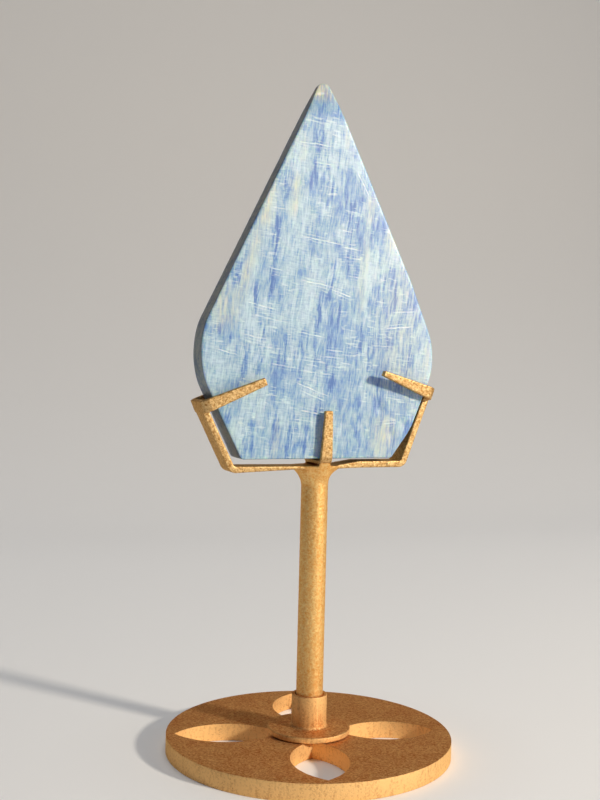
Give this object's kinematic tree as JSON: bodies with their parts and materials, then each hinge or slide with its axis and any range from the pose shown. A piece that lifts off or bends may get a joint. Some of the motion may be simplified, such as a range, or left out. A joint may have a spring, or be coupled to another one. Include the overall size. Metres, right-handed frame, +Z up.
{
  "type": "kyanite slab on a metal stand",
  "caption": "Polished kyanite slab, pointed at the top, held by bent claws on a rod that turns in the socket of a round pierced foot.",
  "frame": {"origin": "centre of the foot's underside, on the surface that it stands on", "axes": "+Z up, along the rod to the tip of the stone; -Y is the side that the stone's front face looks to; X runs along the cradle"},
  "size_m": [0.1, 0.1, 0.2327],
  "materials": {
    "foot_gold": "matt gold spray paint with a fine grain over iron plate",
    "rod_gold": "gold spray paint over an iron rod, lumpy over the weld",
    "cradle_gold": "gold spray paint over bent iron strip",
    "kyanite": "streaky blue and white bladed kyanite, ground flat with a satin polish"
  },
  "bodies": {
    "foot": {"base_plate": "foot_gold", "socket": "foot_gold"},
    "holder": {"post": "rod_gold", "cradle_strip": "cradle_gold", "claw_left": "cradle_gold", "claw_right": "cradle_gold", "prong_strip": "cradle_gold", "stone": "kyanite"}
  },
  "joints": [
    {"name": "rod_turn", "type": "hinge", "parent": "foot", "child": "holder", "pos_m": [0, 0, 0.013], "axis": [0, 0, 1], "continuous": true}
  ]
}
